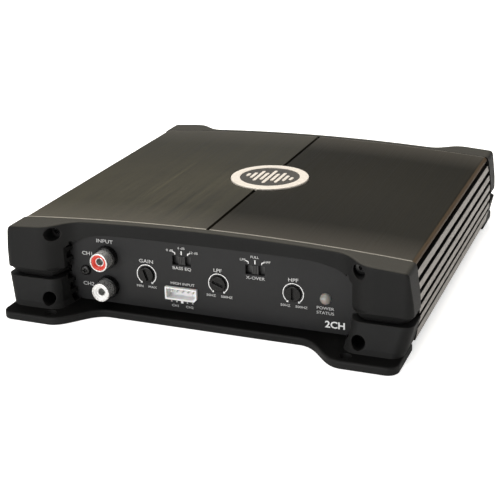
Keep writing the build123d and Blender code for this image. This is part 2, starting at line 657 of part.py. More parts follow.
def slider(x):
    """Slide-switch actuator: a small finger on a wide shutter that hides the slot."""
    finger = window(x, SWITCH_Z, SLIDER_SIZE, -PANEL_FACE_Y + 0.1, SHUTTER_BACK_Y - 0.7)
    top = finger.edges().sort_by(Axis.Y)[0:4]
    finger = fillet(top, 0.25)
    for offset_x in (-0.75, 0.0, 0.75):
        finger -= box(x + offset_x - 0.15, x + offset_x + 0.15, -78, -PANEL_FACE_Y + 0.35,
                      SWITCH_Z - 3, SWITCH_Z + 3)
    return finger + window(x, SWITCH_Z, SHUTTER_SIZE, SHUTTER_BACK_Y - 0.8, SHUTTER_BACK_Y)


def switch_bodies():
    """Two slide-switch housings, recessed for the shutter's travel."""
    bodies = []
    for x in (BASS_EQ_X, CROSSOVER_X):
        body = window(x, SWITCH_Z, SWITCH_BODY, -PANEL_BACK_Y + 0.1, CONTROL_BOARD_Y)
        bodies.append(body - window(x, SWITCH_Z, SWITCH_TRACK, -PANEL_BACK_Y - 1, SHUTTER_BACK_Y + 0.1))
    return bodies


def header_shape(shrink, y0, y1):
    """Block with the header's outline: a rectangle keyed by one cut corner."""
    half_x = HEADER_SIZE[0] / 2 - shrink
    half_z = HEADER_SIZE[1] / 2 - shrink
    corners = [(-half_x, -half_z), (half_x - HEADER_KEY, -half_z), (half_x, -half_z + HEADER_KEY),
               (half_x, half_z), (-half_x, half_z)]
    return along_y(Pos(HEADER_X, HEADER_Z) * make_face(Polyline(corners, close=True)), y0, y1)


def high_input_header():
    """White five-way socket with an open mouth and a keyed corner."""
    shell = header_shape(0, HEADER_FACE_Y, CONTROL_BOARD_Y)
    shell = fillet(shell.edges().filter_by(Axis.Y), 0.3)
    shell -= header_shape(HEADER_WALL, HEADER_FACE_Y - 1, HEADER_FLOOR_Y)
    for pin_x in header_pin_xs():
        shell -= window(pin_x, HEADER_PIN_Z, HEADER_PIN, HEADER_FLOOR_Y - 1, CONTROL_BOARD_Y + 1)
    return shell


def header_pin_xs():
    """Centre of each of the five pins."""
    return [HEADER_X + HEADER_PIN_PITCH * (i - 2) for i in range(5)]


def header_pins():
    """Five square pins through the socket's floor and the control board."""
    pins = []
    for x in header_pin_xs():
        pin = window(x, HEADER_PIN_Z, HEADER_PIN, HEADER_PIN_TIP_Y, CONTROL_BOARD_Y + LEAD_OUT)
        tip = pin.edges().filter_by(lambda e: e.center().Y < HEADER_PIN_TIP_Y + 0.1)
        pins.append(chamfer(tip, 0.15))
    return pins


def power_led():
    """Five-millimetre lamp with a domed lens, a base rim and two legs."""
    lens = rod_y(LED_X, LED_Z, LED_RADIUS, -PANEL_FACE_Y + 0.2, LED_BASE_Y)
    lens += Pos(LED_X, -PANEL_FACE_Y + 0.2, LED_Z) * Sphere(LED_RADIUS)
    lens += rod_y(LED_X, LED_Z, LED_RIM, LED_BASE_Y - 1, LED_BASE_Y)
    for dx in LED_LEG_DXS:
        lens += window(LED_X + dx, LED_Z, (LED_LEG, LED_LEG), LED_BASE_Y - 0.2, CONTROL_BOARD_Y + LEAD_OUT)
    return lens


def control_board():
    """Upright board that carries every front control, drilled for their leads."""
    board = box(-64, 62, CONTROL_BOARD_Y, CONTROL_BOARD_Y + BOARD_THICKNESS, BOARD_LOW_Z, 33.0)
    back = CONTROL_BOARD_Y + LEAD_OUT
    for z in rca_zs():
        board -= rod_y(RCA_X, z, RCA_TAIL + LEAD_PLAY / 2, CONTROL_BOARD_Y - 1, back)
    pin_hole = (HEADER_PIN[0] + LEAD_PLAY, HEADER_PIN[1] + LEAD_PLAY)
    for x in header_pin_xs():
        board -= window(x, HEADER_PIN_Z, pin_hole, CONTROL_BOARD_Y - 1, back)
    for dx in LED_LEG_DXS:
        leg_hole = (LED_LEG + LEAD_PLAY, LED_LEG + LEAD_PLAY)
        board -= window(LED_X + dx, LED_Z, leg_hole, CONTROL_BOARD_Y - 1, back)
    return board


# ---- Inside -------------------------------------------------------------------------------------


def main_board():
    """Main circuit board, drilled for its standoff screws and for the transistor legs."""
    half_x, half_y = MAIN_BOARD_HALF
    board = box(-half_x, half_x, -half_y, half_y, MAIN_BOARD_Z, MAIN_BOARD_TOP)
    for x, y in STANDOFF_SPOTS:
        board -= rod_z(x, y, M3_CLEARANCE, 0, 20)
    for side, leg_y in transistor_legs():
        x = side * (LEG_X[0] + LEG_X[1]) / 2
        board -= box(x - 0.5, x + 0.5, leg_y - 0.6, leg_y + 0.6, 0, 20)
    return board


def pcb_standoffs():
    """Four hexagonal spacers between the cover and the main board."""
    spacers = []
    for x, y in STANDOFF_SPOTS:
        spacer = along_z(Pos(x, y) * RegularPolygon(2.9, 6), SINK_BOTTOM_Z, MAIN_BOARD_Z)
        spacers.append(spacer - rod_z(x, y, M3_BORE, 0, 20))
    return spacers


def pcb_screws():
    """Screws that hold the board and the cover to the spacers."""
    screws = []
    for x, y in STANDOFF_SPOTS:
        top = rod_z(x, y, M3_HEAD, MAIN_BOARD_TOP, MAIN_BOARD_TOP + 1.8)
        top += rod_z(x, y, M3_SHANK, MAIN_BOARD_TOP - 4, MAIN_BOARD_TOP)
        top -= box(x - 2, x + 2, y - 0.35, y + 0.35, MAIN_BOARD_TOP + 1.0, MAIN_BOARD_TOP + 2)
        low = rod_z(x, y, M3_HEAD, COVER_Z - 1.4, COVER_Z)
        low += rod_z(x, y, M3_SHANK, COVER_Z, COVER_Z + 4)
        low -= box(x - 2, x + 2, y - 0.35, y + 0.35, COVER_Z - 2, COVER_Z - 0.8)
        screws += [top, low]
    return screws


def board_link_pins():
    """Row of right-angle pins that joins the control board to the main board."""
    pins = []
    for i in range(10):
        x = -8.0 + LEAD_PITCH * i
        pin = box(x - 0.32, x + 0.32, CONTROL_BOARD_Y + BOARD_THICKNESS, -59.0, 14.0, 14.64)
        pins.append(pin + box(x - 0.32, x + 0.32, -59.64, -59.0, MAIN_BOARD_TOP, 14.64))
    return pins


def toroid_cores():
    """Ring cores of the supply transformer and the input choke."""
    cores = []
    for x, y, outer, inner, height in TOROIDS:
        low = MAIN_BOARD_TOP + WIRE
        core = rod_z(x, y, outer - WIRE, low, low + height)
        cores.append(core - rod_z(x, y, inner + WIRE, low - 1, low + height + 1))
    return cores


def toroid_windings():
    """Turns of enamelled wire around each ring core."""
    turns = []
    for x, y, outer, inner, height in TOROIDS:
        width = outer - inner
        mid = (outer + inner) / 2
        middle_z = MAIN_BOARD_TOP + WIRE + height / 2
        count = int(2 * math.pi * inner / (1.5 * WIRE))
        loop = Rectangle(width, height + 3.0) - Rectangle(width - 3.1, height + 0.1)
        loop = fillet(loop.vertices().group_by(lambda v: round(abs(v.X), 3))[-1], 1.0)
        turn = extrude(Plane.XZ * loop, amount=0.7, both=True)
        for i in range(count):
            angle = 360 * i / count
            turns.append(Pos(x, y, middle_z) * Rot(0, 0, angle) * Pos(mid, 0, 0) * turn)
    return turns


def can(x, y, radius, height):
    """An electrolytic capacitor standing on the main board, with its crimp groove."""
    body = rod_z(x, y, radius, MAIN_BOARD_TOP, MAIN_BOARD_TOP + height)
    rims = body.edges().filter_by(GeomType.CIRCLE)
    body = fillet(rims, 0.6)
    return body - Pos(x, y, MAIN_BOARD_TOP + 3.2) * Torus(radius + 0.5, 1.0)


def input_capacitors():
    """Three low-voltage cans beside the power terminals."""
    return [can(x, 42.0, 5.2, 19.0) for x in (22.0, 36.0, 50.0)]


def rail_capacitors():
    """Four taller cans that smooth the supply rails."""
    return [can(x, y, 6.4, 21.0) for x in (22.0, 42.0) for y in (2.0, 20.0)]


def transistor_legs():
    """Side and centre of every transistor leg."""
    legs = []
    for side in (-1, 1):
        for y in TRANSISTOR_YS:
            for step in (-1, 0, 1):
                legs.append((side, y + LEAD_PITCH * step))
    return legs


def insulating_pads():
    """Thin pads between the transistors and the heatsink walls."""
    pads = []
    for side in (-1, 1):
        for y in TRANSISTOR_YS:
            x0, x1 = sorted((side * PACKAGE_BACK_X, side * WALL_INNER_X))
            pads.append(box(x0, x1, y - 6, y + 6, TRANSISTOR_Z - 8, TRANSISTOR_Z + 9))
    return pads


def power_transistors():
    """Eight flat-tab power transistors against the walls, legs down into the board."""
    packages = []
    for side in (-1, 1):
        for y in TRANSISTOR_YS:
            back = PACKAGE_BACK_X
            package = box(back - PACKAGE_DEPTH, back, y - 5, y + 5, TRANSISTOR_Z - 6.5, TRANSISTOR_Z + 2.5)
            package += box(back - TAB_THICKNESS, back, y - 5, y + 5, TRANSISTOR_Z + 2.5, TRANSISTOR_Z + 8.5)
            for step in (-1, 0, 1):
                leg = y + LEAD_PITCH * step
                package += box(*LEG_X, leg - 0.4, leg + 0.4, MAIN_BOARD_Z - 1.0, TRANSISTOR_Z - 6.4)
            packages.append(package if side > 0 else mirror(package, about=Plane.YZ))
    return packages


def clamp_screw_ys():
    """Bores between neighbouring transistors for the clamp-bar screws."""
    return [(a + b) / 2 for a, b in zip(TRANSISTOR_YS[:-1], TRANSISTOR_YS[1:])]


def clamp_bars():
    """Two spring-steel bars that press the transistors to the walls."""
    bars = []
    for side in (-1, 1):
        inner = PACKAGE_BACK_X - PACKAGE_DEPTH
        bar = box(inner - BAR_THICKNESS, inner, -50, 50, TRANSISTOR_Z - 4, TRANSISTOR_Z + 2)
        for y in clamp_screw_ys():
            bar -= rod_x(y, TRANSISTOR_Z, M3_CLEARANCE, inner - 3, inner + 1)
        bars.append(bar if side > 0 else mirror(bar, about=Plane.YZ))
    return bars


def clamp_screws():
    """Six screws through the clamp bars into the heatsink walls."""
    screws = []
    for side in (-1, 1):
        for y in clamp_screw_ys():
            seat = PACKAGE_BACK_X - PACKAGE_DEPTH - BAR_THICKNESS
            screw = rod_x(y, TRANSISTOR_Z, M3_HEAD, seat - 2.0, seat)
            screw += rod_x(y, TRANSISTOR_Z, M3_SHANK, seat, FIN_ROOT_X - 1.5)
            screw -= box(seat - 3, seat - 1.2, y - 0.4, y + 0.4, TRANSISTOR_Z - 2, TRANSISTOR_Z + 2)
            screws.append(screw if side > 0 else mirror(screw, about=Plane.YZ))
    return screws


def signal_ics():
    """Three dual-in-line chips of the preamplifier and the supply controller."""
    chips = []
    board = MAIN_BOARD_TOP
    for x, y in CHIP_SPOTS:
        chip = box(x - 4.9, x + 4.9, y - 3.2, y + 3.2, board + 0.5, board + 3.9)
        for i in range(4):
            for row in (-1, 1):
                leg_x = x + LEAD_PITCH * (i - 1.5)
                leg_y = sorted((y + row * 3.1, y + row * 3.8))
                chip += box(leg_x - 0.25, leg_x + 0.25, leg_y[0], leg_y[1], board, board + 2.2)
        chips.append(chip)
    return chips


# ---- Rear panel, terminals and fuse ----------------------------------------------------------------


def terminal_xs(centre, pitch, count):
    """Screw positions of one terminal row."""
    return [centre + pitch * (i - (count - 1) / 2) for i in range(count)]


def power_xs():
    """Screw positions of the power terminals."""
    return terminal_xs(POWER_CENTRE_X, POWER_PITCH, 3)


def speaker_xs():
    """Screw positions of the speaker terminals."""
    return terminal_xs(SPEAKER_CENTRE_X, SPEAKER_PITCH, 4)


def terminal_block(xs, pitch):
    """Moulded base with a barrier on both sides of every terminal."""
    half = pitch * len(xs) / 2 + BARRIER_THICKNESS / 2
    centre = (xs[0] + xs[-1]) / 2
    low, high = TERMINAL_Z - BLOCK_HALF_HEIGHT, TERMINAL_Z + BLOCK_HALF_HEIGHT
    base = box(centre - half, centre + half, TERMINAL_BACK_Y, TERMINAL_BASE_Y, low, high)
    base += box(centre - half, centre + half, PANEL_FACE_Y + HAIR, PANEL_FACE_Y + 1.4, low - 1.6, high + 1.6)
    for i in range(len(xs) + 1):
        x0 = xs[0] - pitch / 2 + pitch * i - BARRIER_THICKNESS / 2
        wall = box(x0, x0 + BARRIER_THICKNESS, TERMINAL_BASE_Y - 0.5, BARRIER_Y, low, high)
        tips = wall.edges().filter_by(lambda e: e.center().Y > BARRIER_Y - 0.1)
        base += fillet(tips, 0.5)
    for x in xs:
        base -= rod_y(x, TERMINAL_Z, CONTACT_BOSS + 0.1, TERMINAL_BACK_Y - 1, TERMINAL_BASE_Y + 1)
    return base


def power_terminal_block():
    """Three-way block for supply, remote and ground."""
    return terminal_block(power_xs(), POWER_PITCH)


def speaker_terminal_block():
    """Four-way block for the two speaker pairs."""
    return terminal_block(speaker_xs(), SPEAKER_PITCH)


def terminal_contacts():
    """Seven plated contact plates, each with a tapped boss and a tail to the main board."""
    contacts = []
    for x in power_xs() + speaker_xs():
        plate = box(x - 4.0, x + 4.0, TERMINAL_BASE_Y, TERMINAL_BASE_Y + CONTACT_THICKNESS,
                    TERMINAL_Z - 7, TERMINAL_Z + 7)
        plate += rod_y(x, TERMINAL_Z, CONTACT_BOSS, TERMINAL_BACK_Y + 1, TERMINAL_BASE_Y + 0.5)
        plate -= rod_y(x, TERMINAL_Z, M4_BORE, 73.5, TERMINAL_BASE_Y + 5)
        tail = box(x - 0.8, x + 0.8, TAIL_Y, TERMINAL_BACK_Y + 1.5, TERMINAL_Z - 0.5, TERMINAL_Z + 0.5)
        tail += box(x - 0.8, x + 0.8, TAIL_Y, TAIL_Y + 1, MAIN_BOARD_TOP, TERMINAL_Z)
        contacts.append(plate + tail)
    return contacts


def terminal_washer(x):
    """Square captive washer under one terminal screw."""
    low = WASHER_LOW_Y
    plate = window(x, TERMINAL_Z, (2 * WASHER_HALF, 2 * WASHER_HALF), low, low + WASHER_THICKNESS)
    plate = fillet(plate.edges().filter_by(Axis.Y), 0.6)
    return plate - rod_y(x, TERMINAL_Z, M4_BORE, low - 1, low + 2)


def terminal_screw(x):
    """Cross-and-slot pan-head clamp screw."""
    seat = HEAD_LOW_Y
    head = rod_y(x, TERMINAL_Z, M4_HEAD, seat, seat + 2.4)
    rim = head.edges().filter_by(GeomType.CIRCLE).sort_by(Axis.Y)[-1]
    screw = fillet(rim, 0.9)
    screw += rod_y(x, TERMINAL_Z, M4_SHANK, M4_TIP_Y, seat + 0.1)
    for size in ((5.4, 0.9), (0.9, 3.6)):
        screw -= window(x, TERMINAL_Z, size, seat + 1.1, seat + 3)
    return screw


def rear_panel():
    """Rear panel with windows for both terminal blocks and the fuse."""
    panel = mirror(panel_blank(), about=Plane.XZ)
    for xs, pitch in ((power_xs(), POWER_PITCH), (speaker_xs(), SPEAKER_PITCH)):
        width = pitch * len(xs) + BARRIER_THICKNESS + 0.1
        height = 2 * BLOCK_HALF_HEIGHT + 0.1
        panel -= window((xs[0] + xs[-1]) / 2, TERMINAL_Z, (width, height), 70, 80)
    size = (FUSE_HOLDER[0] + 0.1, FUSE_HOLDER[1] + 0.1)
    return panel - window(FUSE_X, FUSE_Z, size, 70, 80)


def fuse_holder():
    """Moulded holder that sinks a blade fuse into the rear panel."""
    body = window(FUSE_X, FUSE_Z, FUSE_HOLDER, 60.3, PANEL_FACE_Y + 0.5)
    body += window(FUSE_X, FUSE_Z, FUSE_BEZEL, PANEL_FACE_Y + HAIR, PANEL_FACE_Y + 1.4)
    body -= window(FUSE_X, FUSE_Z, FUSE_WELL, FUSE_WELL_Y, PANEL_FACE_Y + 5)
    for dz in FUSE_BLADE_DZS:
        pocket = (FUSE_CLIP[0] + 0.4, FUSE_CLIP[1] + 0.4)
        body -= window(FUSE_X, FUSE_Z + dz, pocket, 61.0, FUSE_WELL_Y + 1)
    return body


def fuse_clips():
    """Two forked spring clips that grip the fuse blades."""
    clips = []
    for dz in FUSE_BLADE_DZS:
        clip = window(FUSE_X, FUSE_Z + dz, FUSE_CLIP, 61.1, FUSE_WELL_Y - 0.4)
        mouth = (FUSE_BLADE[0] + 0.13, FUSE_CLIP[1] + 0.4)
        clips.append(clip - window(FUSE_X, FUSE_Z + dz, mouth, 62.4, FUSE_WELL_Y + 0.6))
    return clips


def blade_fuse():
    """Standard blade fuse: a flat tinted body on two blades."""
    foot = FUSE_WELL_Y + 0.2
    body = window(FUSE_X, FUSE_Z, FUSE_WEB, foot, FUSE_FACE_Y - 1.9)
    body += window(FUSE_X, FUSE_Z, FUSE_RIM, FUSE_FACE_Y - 3.4, FUSE_FACE_Y)
    body += window(FUSE_X, FUSE_Z, FUSE_RIM, foot, foot + 2.1)
    for dz in FUSE_BLADE_DZS:
        body += window(FUSE_X, FUSE_Z + dz, FUSE_BLADE, foot - 6.9, foot + 0.2)
    return body


def write_node(name, shape):
    """Write one named sub-part: a single solid, or several separate solids of one kind."""
    solids = shape if isinstance(shape, list) else [shape]
    flat = [solid for item in solids for solid in item.solids()]
    model = flat[0] if len(flat) == 1 else Compound(children=flat)
    model.label = name
    export_step(model, f"parts/{name}.step")


def all_nodes():
    """Every sub-part under its node name."""
    cap = end_cap()
    nodes = {
        "heatsink": heatsink(),
        "bottom_cover": bottom_cover(),
        "cover_screws": cover_screws(),
        "rear_end_cap": cap,
        "front_end_cap": Rot(0, 0, 180) * cap,
        "end_cap_screws": end_cap_screws(),
        "front_panel": front_panel(),
        "rear_panel": rear_panel(),
        "emblem_plate": emblem_plate(),
        "emblem_inlay": emblem_inlay(),
        "rca_housing": rca_housing(),
        "rca_shells": rca_shells(),
        "rca_insert_red": rca_insert(RCA_UPPER_Z),
        "rca_insert_white": rca_insert(RCA_LOWER_Z),
        "rca_contacts": rca_contacts(),
        "rca_screw": rca_screw(),
        "gain_knob": knob(GAIN_X, 20),
        "lpf_knob": knob(LPF_X, 70),
        "hpf_knob": knob(HPF_X, 0),
        "pot_bodies": pot_bodies(),
        "bass_eq_slider": slider(BASS_EQ_X),
        "crossover_slider": slider(CROSSOVER_X),
        "switch_bodies": switch_bodies(),
        "high_input_header": high_input_header(),
        "header_pins": header_pins(),
        "power_led": power_led(),
        "control_board": control_board(),
        "main_board": main_board(),
        "pcb_standoffs": pcb_standoffs(),
        "pcb_screws": pcb_screws(),
        "board_link_pins": board_link_pins(),
        "toroid_cores": toroid_cores(),
        "toroid_windings": toroid_windings(),
        "input_capacitors": input_capacitors(),
        "rail_capacitors": rail_capacitors(),
        "power_transistors": power_transistors(),
        "insulating_pads": insulating_pads(),
        "clamp_bars": clamp_bars(),
        "clamp_screws": clamp_screws(),
        "signal_ics": signal_ics(),
        "power_terminal_block": power_terminal_block(),
        "speaker_terminal_block": speaker_terminal_block(),
        "terminal_contacts": terminal_contacts(),
        "fuse_holder": fuse_holder(),
        "fuse_clips": fuse_clips(),
        "blade_fuse": blade_fuse(),
    }
    names = ["power_ground", "power_remote", "power_supply"]
    names += ["speaker_right_minus", "speaker_right_plus", "speaker_left_minus", "speaker_left_plus"]
    for name, x in zip(names, power_xs() + speaker_xs()):
        nodes[f"{name}_screw"] = terminal_screw(x)
        nodes[f"{name}_washer"] = terminal_washer(x)
    return nodes


os.makedirs("parts", exist_ok=True)
for node_name, node_shape in all_nodes().items():
    write_node(node_name, node_shape)
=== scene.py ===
import json
import math

import bmesh
import bpy
from mathutils import Matrix, Vector


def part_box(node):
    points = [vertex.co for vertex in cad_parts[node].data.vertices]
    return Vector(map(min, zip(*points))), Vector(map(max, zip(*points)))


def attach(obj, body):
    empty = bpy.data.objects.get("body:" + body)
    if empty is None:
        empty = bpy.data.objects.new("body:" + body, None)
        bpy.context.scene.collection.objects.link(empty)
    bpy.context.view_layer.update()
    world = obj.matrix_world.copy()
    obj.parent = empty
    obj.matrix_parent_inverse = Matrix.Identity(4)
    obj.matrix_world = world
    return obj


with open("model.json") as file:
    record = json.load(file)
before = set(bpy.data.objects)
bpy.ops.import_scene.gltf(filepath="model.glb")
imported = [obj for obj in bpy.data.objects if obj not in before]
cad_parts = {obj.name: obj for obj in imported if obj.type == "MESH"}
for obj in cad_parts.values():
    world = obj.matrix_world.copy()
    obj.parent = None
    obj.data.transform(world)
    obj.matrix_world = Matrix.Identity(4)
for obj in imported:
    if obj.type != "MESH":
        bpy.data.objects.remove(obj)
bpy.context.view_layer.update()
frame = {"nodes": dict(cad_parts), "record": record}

MM = 0.001

# ---- Camera: the reference viewing angle (degrees, metres) -----------------------------------
CAMERA_AZIMUTH = 21.52
CAMERA_ELEVATION = 20.96
CAMERA_ROLL = -1.22
CAMERA_DISTANCE = 0.5848
CAMERA_TARGET = (-0.01096, 0.0, 0.00447)
CAMERA_LENS_MM = 85.7

# ---- Studio -----------------------------------------------------------------------------------
KEY_POWER = 22.0
SIDE_POWER = 3.0
FRONT_POWER = 11.5
ROOM_DIM = 0.13
ROOM_BRIGHT = 0.33
ROOM_BRIGHT_SIDE = (-0.55, 0.75, 0.36)     # direction of the brighter part of the room
FLOOR_LIFT = 0.6

PANEL_FACE_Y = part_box("front_panel")[0].y
REAR_FACE_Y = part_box("rear_panel")[1].y
TERMINALS = {"power_supply": "+12V", "power_remote": "REM", "power_ground": "GND", "speaker_left_plus": "L+",
             "speaker_left_minus": "L-", "speaker_right_plus": "R+", "speaker_right_minus": "R-"}


# ---- Small node-tree helpers --------------------------------------------------------------------


class Shader:
    """A material under construction: a principled shader plus short ways to add nodes."""

    def __init__(self, name):
        self.material = bpy.data.materials.new(name)
        self.material.use_nodes = True
        self.tree = self.material.node_tree
        self.bsdf = self.tree.nodes["Principled BSDF"]
        self.coords = self.tree.nodes.new("ShaderNodeTexCoord").outputs["Object"]

    def put(self, socket, value):
        """Link a node's output to a socket, or set the socket's own value."""
        if isinstance(value, bpy.types.NodeSocket):
            self.tree.links.new(value, socket)
        else:
            socket.default_value = value

    def set(self, **values):
        """Set inputs of the principled shader; underscores stand for spaces."""
        for key, value in values.items():
            self.put(self.bsdf.inputs[key.replace("_", " ")], value)

    def node(self, kind, *inputs, **props):
        """Add a node, set its properties and its inputs in order, and return it."""
        made = self.tree.nodes.new("ShaderNode" + kind)
        for key, value in props.items():
            setattr(made, key, value)
        for socket, value in zip(made.inputs, inputs):
            if value is not None:
                self.put(socket, value)
        return made

    def math(self, operation, a, b=0.0, clamp=False):
        return self.node("Math", a, b, operation=operation, use_clamp=clamp).outputs[0]

    def stretched(self, scale):
        """Object coordinates multiplied per axis, for grain that runs one way."""
        mapping = self.node("Mapping", self.coords)
        mapping.inputs["Scale"].default_value = scale
        return mapping.outputs[0]

    def noise(self, scale, detail=3.0, roughness=0.5, vector=None):
        made = self.tree.nodes.new("ShaderNodeTexNoise")
        self.put(made.inputs["Vector"], vector if vector is not None else self.coords)
        made.inputs["Scale"].default_value = scale
        made.inputs["Detail"].default_value = detail
        made.inputs["Roughness"].default_value = roughness
        return made.outputs["Fac"]

    def remap(self, value, low, high, to_low=0.0, to_high=1.0):
        made = self.tree.nodes.new("ShaderNodeMapRange")
        self.put(made.inputs["Value"], value)
        made.inputs["From Min"].default_value = low
        made.inputs["From Max"].default_value = high
        made.inputs["To Min"].default_value = to_low
        made.inputs["To Max"].default_value = to_high
        return made.outputs["Result"]

    def mix(self, factor, a, b):
        """Blend two colours, each a tuple or a colour socket."""
        made = self.tree.nodes.new("ShaderNodeMix")
        made.data_type = "RGBA"
        sockets = {socket.identifier: socket for socket in made.inputs}
        self.put(sockets["Factor_Float"], factor)
        for name, colour in (("A_Color", a), ("B_Color", b)):
            self.put(sockets[name], colour if isinstance(colour, bpy.types.NodeSocket) else (*colour, 1.0))
        return [socket for socket in made.outputs if socket.identifier == "Result_Color"][0]

    def edges(self, radius, low=0.02, high=0.25):
        """Mask that is 1 on convex and concave edges narrower than the radius (in metres)."""
        bevel = self.node("Bevel", samples=4)
        bevel.inputs["Radius"].default_value = radius
        geometry = self.node("NewGeometry")
        dot = self.node("VectorMath", bevel.outputs[0], geometry.outputs["True Normal"],
                        operation="DOT_PRODUCT")
        return self.remap(dot.outputs["Value"], 1.0 - low, 1.0 - high)

    def soft_edges(self, radius):
        """Normal with its sharp edges rounded off."""
        bevel = self.node("Bevel", samples=4)
        bevel.inputs["Radius"].default_value = radius
        return bevel.outputs[0]

    def bump(self, height, strength, distance, normal=None):
        made = self.tree.nodes.new("ShaderNodeBump")
        made.inputs["Strength"].default_value = strength
        made.inputs["Distance"].default_value = distance
        self.put(made.inputs["Height"], height)
        if normal is not None:
            self.put(made.inputs["Normal"], normal)
        return made.outputs[0]


# ---- Materials -----------------------------------------------------------------------------------


def sink_aluminium():
    """Dark bronze-grey anodised top brushed front to back, with painted reflections and highlights at its
    ends and shoulders and painted shade on its right half and in the fin gaps; machined fin tips.
    """
    s = Shader("sink_aluminium")
    x, y, z = s.node("SeparateXYZ", s.coords).outputs
    from_middle = s.math("ABSOLUTE", x)
    from_centre_y = s.math("ABSOLUTE", y)
    normal_x = s.node("SeparateXYZ", s.node("NewGeometry").outputs["Normal"]).outputs[0]
    facing_side = s.remap(s.math("ABSOLUTE", normal_x), 0.45, 0.62)
    fins = s.math("MULTIPLY", s.remap(from_middle, 0.0886, 0.0890), s.remap(z, 0.0372, 0.0369), clamp=True)
    bare = s.math("MULTIPLY", facing_side, fins, clamp=True)
    brush = s.noise(1.0, 4.0, 0.6, s.stretched((5200, 14, 900)))
    streak = s.noise(1.0, 2.0, 0.5, s.stretched((900, 5, 300)))
    cloud = s.noise(14.0, 3.0, 0.5)
    dark = s.mix(s.remap(brush, 0.35, 0.65), (0.012, 0.0107, 0.0064), (0.060, 0.0540, 0.0315))
    dark = s.mix(s.remap(streak, 0.35, 0.65, 0.0, 0.4), dark, (0.054, 0.046, 0.027))
    dark = s.mix(s.remap(cloud, 0.35, 0.7, 0.0, 0.3), dark, (0.018, 0.017, 0.0100))
    # painted shade: the right half of the top is darkened, standing in for its dimmer reflection
    on_right = s.remap(x, -0.0004, 0.0004)
    dark = s.mix(s.math("MULTIPLY", on_right, 0.78), dark, (0.005, 0.0041, 0.0026))
    # painted reflection: the top is lightened toward both ends, standing in for light reflected there
    painted_end_reflection = s.remap(from_centre_y, 0.050, 0.0756, 0.0, 0.16)
    dark = s.mix(painted_end_reflection, dark, (0.26, 0.235, 0.20))
    # painted highlight: a bright line on the end chamfers
    painted_end_highlight = s.remap(from_centre_y, 0.0750, 0.0757, 0.0, 0.3)
    dark = s.mix(painted_end_highlight, dark, (0.78, 0.74, 0.66))
    # painted highlight: a thin coppery line along the rounded shoulders above the fins
    painted_shoulder_highlight = s.math("MULTIPLY", s.remap(from_middle, 0.0879, 0.0884), s.remap(z, 0.0370, 0.0376),
                      clamp=True)
    dark = s.mix(painted_shoulder_highlight, dark, (0.085, 0.058, 0.034))
    side_brush = s.noise(1.0, 3.0, 0.6, s.stretched((2000, 20, 5000)))
    bright = s.mix(s.remap(side_brush, 0.3, 0.7), (0.30, 0.285, 0.27), (0.41, 0.39, 0.37))
    # painted shade: the faces in the gaps between the fins are made near black
    slot = s.mix(facing_side, (0.008, 0.008, 0.008), dark)
    dark = s.mix(fins, dark, slot)
    s.set(Base_Color=s.mix(bare, dark, bright))
    polish = s.math("MULTIPLY", on_right, -0.4)
    s.set(Metallic=s.math("ADD", s.remap(bare, 0, 1, 0.70, 0.85), polish))
    s.set(Specular_IOR_Level=s.remap(on_right, 0, 1, 0.30, 0.06))
    s.set(Roughness=s.math("ADD", s.remap(brush, 0.3, 0.7, 0.40, 0.54), s.math("MULTIPLY", bare, 0.02)))
    s.set(Anisotropic=0.4)
    grain = s.math("ADD", s.math("MULTIPLY", brush, 0.7), s.math("MULTIPLY", streak, 0.5))
    s.set(Normal=s.bump(grain, 0.34, 0.00006, s.soft_edges(0.0003)))
    return s.material


def cap_plastic():
    """Charcoal moulded plastic, fine-grained, rubbed on its edges, with painted light on its upward top
    faces and painted shade on the low flange.
    """
    s = Shader("cap_plastic")
    grain = s.noise(3800.0, 2.0, 0.6)
    cloud = s.noise(22.0, 4.0, 0.55)
    rub = s.edges(0.0008)
    z = s.node("SeparateXYZ", s.coords).outputs[2]
    normal_z = s.node("SeparateXYZ", s.node("NewGeometry").outputs["Normal"]).outputs[2]
    base = s.mix(s.remap(cloud, 0.3, 0.7), (0.0075, 0.0076, 0.0077), (0.0110, 0.0110, 0.0108))
    # painted light: the upward faces at the top of the caps are lightened, as if lit from above
    painted_top_light = s.math("MULTIPLY", s.remap(normal_z, 0.5, 0.95), s.remap(z, 0.034, 0.036), clamp=True)
    base = s.mix(painted_top_light, base, (0.038, 0.0355, 0.029))
    base = s.mix(s.math("MULTIPLY", rub, s.remap(cloud, 0.4, 0.6, 0.1, 0.45)), base, (0.035, 0.034, 0.031))
    # painted shade: the upward faces of the low flange are made near black and less specular, as shade
    # beside the blocks
    painted_flange_shade = s.math("MULTIPLY", s.remap(normal_z, 0.5, 0.9), s.remap(z, 0.0062, 0.0045), clamp=True)
    base = s.mix(s.math("MULTIPLY", painted_flange_shade, 0.95), base, (0.003, 0.003, 0.003))
    s.set(Base_Color=base)
    s.set(Roughness=s.remap(grain, 0.3, 0.7, 0.50, 0.64))
    s.set(Specular_IOR_Level=s.remap(painted_flange_shade, 0.0, 1.0, 0.15, 0.02))
    s.set(Normal=s.bump(grain, 0.30, 0.00005, s.soft_edges(0.0004)))
    return s.material


def panel_paint():
    """Satin charcoal powder coat."""
    s = Shader("panel_paint")
    grain = s.noise(2600.0, 2.0, 0.5)
    cloud = s.noise(30.0, 3.0, 0.5)
    s.set(Base_Color=s.mix(s.remap(cloud, 0.3, 0.7), (0.0125, 0.0125, 0.0130), (0.0165, 0.0165, 0.0172)))
    s.set(Roughness=s.remap(grain, 0.3, 0.7, 0.42, 0.56))
    s.set(Specular_IOR_Level=0.25)
    s.set(Normal=s.bump(grain, 0.2, 0.00004))
    return s.material


